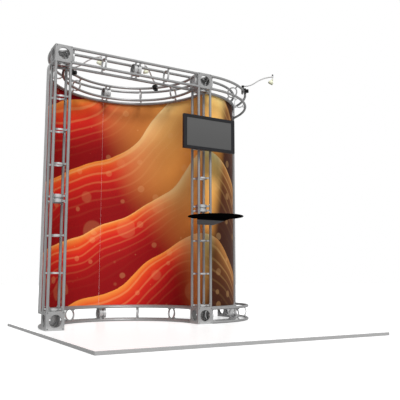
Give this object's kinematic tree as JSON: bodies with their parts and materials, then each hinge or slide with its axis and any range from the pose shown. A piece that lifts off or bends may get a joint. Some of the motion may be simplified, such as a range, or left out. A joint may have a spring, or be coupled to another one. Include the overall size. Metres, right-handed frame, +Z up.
{
  "type": "trade show truss booth",
  "caption": "Free-standing display wall of four-chord truss with a half-round bay and a curved wing of printed panels, a round shelf, a tilting monitor and arm spotlights.",
  "frame": {"origin": "centre of the underside of the middle base box, on the floor", "axes": "+Z up, +X to the right along the front beam, +Y to the back"},
  "size_m": [2.3596, 1.3921, 2.5833],
  "materials": {
    "box_metal": "satin",
    "chord_metal": "satin",
    "ring_metal": "satin",
    "fastener_steel": "zinc plated",
    "printed_fabric": "printed in front, grey behind",
    "hook_tape": "hook tape",
    "clamp_black": "moulded",
    "arm_metal": "satin silver",
    "shade": "pale yellow",
    "bulb_glass": "clear",
    "bezel_black": "gloss",
    "cover_black": "moulded",
    "screen_glass": "matte, switched off",
    "board": "circuit board",
    "bracket_black": "powder coat",
    "shelf_laminate": "black laminate",
    "shelf_bracket_paint": "dark grey powder coat"
  },
  "bodies": {
    "booth": {"left_base_box": "box_metal", "left_top_box": "box_metal", "left_column_lower_chords": "chord_metal", "straight_rings": "ring_metal", "lock_screws": "fastener_steel", "left_column_upper_chords": "chord_metal", "chord_spigots": "fastener_steel", "section_couplers": "fastener_steel", "middle_base_box": "box_metal", "middle_top_box": "box_metal", "middle_column_lower_chords": "chord_metal", "middle_column_upper_chords": "chord_metal", "rear_base_box": "box_metal", "rear_top_box": "box_metal", "rear_column_lower_chords": "chord_metal", "rear_column_upper_chords": "chord_metal", "front_beam_chords": "chord_metal", "bay_left_base_chords": "chord_metal", "curve_rings": "ring_metal", "bay_right_base_chords": "chord_metal", "wing_base_chords": "chord_metal", "bay_left_top_chords": "chord_metal", "bay_right_top_chords": "chord_metal", "wing_top_chords": "chord_metal", "bay_left_panel": "printed_fabric", "hook_tapes": "hook_tape", "bay_right_panel": "printed_fabric", "wing_panel": "printed_fabric", "left_lamp_clamp": "clamp_black", "centre_lamp_clamp": "clamp_black", "right_lamp_clamp": "clamp_black", "monitor_tilt_pin": "fastener_steel", "monitor_bracket": "bracket_black", "chord_u_bolts": "fastener_steel", "shelf_top": "shelf_laminate", "shelf_bracket": "shelf_bracket_paint"},
    "left_lamp_arm": {"left_lamp_arm": "arm_metal", "left_lamp_hub": "clamp_black", "left_lamp_post_cap": "clamp_black"},
    "left_lamp_head": {"left_lamp_head": "shade", "left_lamp_bulb": "bulb_glass"},
    "left_lamp_clamp_knob": {"left_lamp_clamp_knob": "clamp_black"},
    "centre_lamp_arm": {"centre_lamp_arm": "arm_metal", "centre_lamp_hub": "clamp_black", "centre_lamp_post_cap": "clamp_black"},
    "centre_lamp_head": {"centre_lamp_head": "shade", "centre_lamp_bulb": "bulb_glass"},
    "centre_lamp_clamp_knob": {"centre_lamp_clamp_knob": "clamp_black"},
    "right_lamp_arm": {"right_lamp_arm": "arm_metal", "right_lamp_hub": "clamp_black", "right_lamp_post_cap": "clamp_black"},
    "right_lamp_head": {"right_lamp_head": "shade", "right_lamp_bulb": "bulb_glass"},
    "right_lamp_clamp_knob": {"right_lamp_clamp_knob": "clamp_black"},
    "monitor": {"monitor_bezel": "bezel_black", "monitor_screen": "screen_glass", "monitor_main_board": "board", "monitor_back_cover": "cover_black", "monitor_tilt_plate": "bracket_black"},
    "monitor_power_button": {"monitor_power_button": "bezel_black"}
  },
  "joints": [
    {"name": "left_lamp_arm_swivel", "type": "hinge", "parent": "booth", "child": "left_lamp_arm", "pos_m": [-1.1713, 0.5408, 2.4533], "axis": [0, 0, 1], "range_deg": [-90, 90]},
    {"name": "left_lamp_head_tilt", "type": "hinge", "parent": "left_lamp_arm", "child": "left_lamp_head", "pos_m": [-0.94078, 0.31028, 2.5313], "axis": [0.7071, 0.7071, 0], "range_deg": [-45, 45]},
    {"name": "left_lamp_clamp_knob_turn", "type": "hinge", "parent": "booth", "child": "left_lamp_clamp_knob", "pos_m": [-1.1457, 0.5152, 2.4257], "axis": [0.7071, -0.7071, 0], "range_deg": [0, 180]},
    {"name": "centre_lamp_arm_swivel", "type": "hinge", "parent": "booth", "child": "centre_lamp_arm", "pos_m": [-0.2447, 0.5408, 2.4533], "axis": [0, 0, 1], "range_deg": [-90, 90]},
    {"name": "centre_lamp_head_tilt", "type": "hinge", "parent": "centre_lamp_arm", "child": "centre_lamp_head", "pos_m": [-0.47522, 0.31028, 2.5313], "axis": [0.7071, -0.7071, 0], "range_deg": [-45, 45]},
    {"name": "centre_lamp_clamp_knob_turn", "type": "hinge", "parent": "booth", "child": "centre_lamp_clamp_knob", "pos_m": [-0.2703, 0.5152, 2.4257], "axis": [-0.7071, -0.7071, 0], "range_deg": [0, 180]},
    {"name": "right_lamp_arm_swivel", "type": "hinge", "parent": "booth", "child": "right_lamp_arm", "pos_m": [0.61547, 0.17003, 2.4533], "axis": [0, 0, 1], "range_deg": [-90, 90]},
    {"name": "right_lamp_head_tilt", "type": "hinge", "parent": "right_lamp_arm", "child": "right_lamp_head", "pos_m": [0.84598, -0.06048, 2.5313], "axis": [0.7071, 0.7071, 0], "range_deg": [-45, 45]},
    {"name": "right_lamp_clamp_knob_turn", "type": "hinge", "parent": "booth", "child": "right_lamp_clamp_knob", "pos_m": [0.64106, 0.14444, 2.4257], "axis": [0.7071, -0.7071, 0], "range_deg": [0, 180]},
    {"name": "monitor_tilt", "type": "hinge", "parent": "booth", "child": "monitor", "pos_m": [0, -0.1095, 1.804], "axis": [1, 0, 0], "range_deg": [-10, 10]},
    {"name": "monitor_power_button_press", "type": "slide", "parent": "monitor", "child": "monitor_power_button", "axis": [0, 0, 1], "range_m": [0, 0.001], "stiffness_N_per_m": 400}
  ]
}
